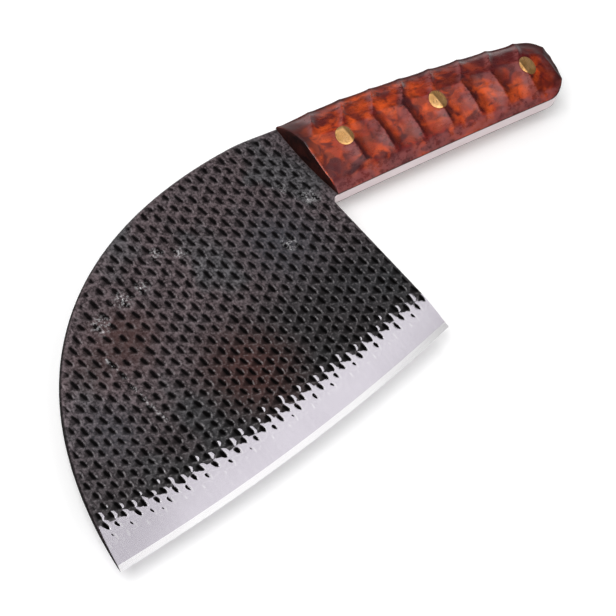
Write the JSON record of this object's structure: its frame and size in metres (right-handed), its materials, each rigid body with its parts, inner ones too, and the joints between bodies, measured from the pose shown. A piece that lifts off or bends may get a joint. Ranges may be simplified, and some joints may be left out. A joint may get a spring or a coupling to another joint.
{
  "type": "serbian chef knife",
  "caption": "Wide forged kitchen knife with a rounded spine, rasp-textured flats, a polished edge grind, and a full tang between carved wooden scales held by brass pins.",
  "frame": {"origin": "under the middle of the knife's outline, at the lowest point of the lower scale, with the blade level", "axes": "+X toward the tip, +Y toward the cutting edge, +Z square to the blade, out of the face that the picture shows"},
  "size_m": [0.3054, 0.1264, 0.0243],
  "materials": {
    "forged_steel": "dark forge scale on the rasp-textured flats, bright polished grind along the edge",
    "carved_wood": "glossy oiled red hardwood with carved scallops",
    "epoxy": "thin cured glue line, dark",
    "brass": "ground flush, satin"
  },
  "bodies": {
    "root": {"blade": "forged_steel", "upper_epoxy_bed": "epoxy", "lower_epoxy_bed": "epoxy", "upper_scale": "carved_wood", "lower_scale": "carved_wood", "front_pin": "brass", "middle_pin": "brass", "rear_pin": "brass"}
  },
  "joints": []
}
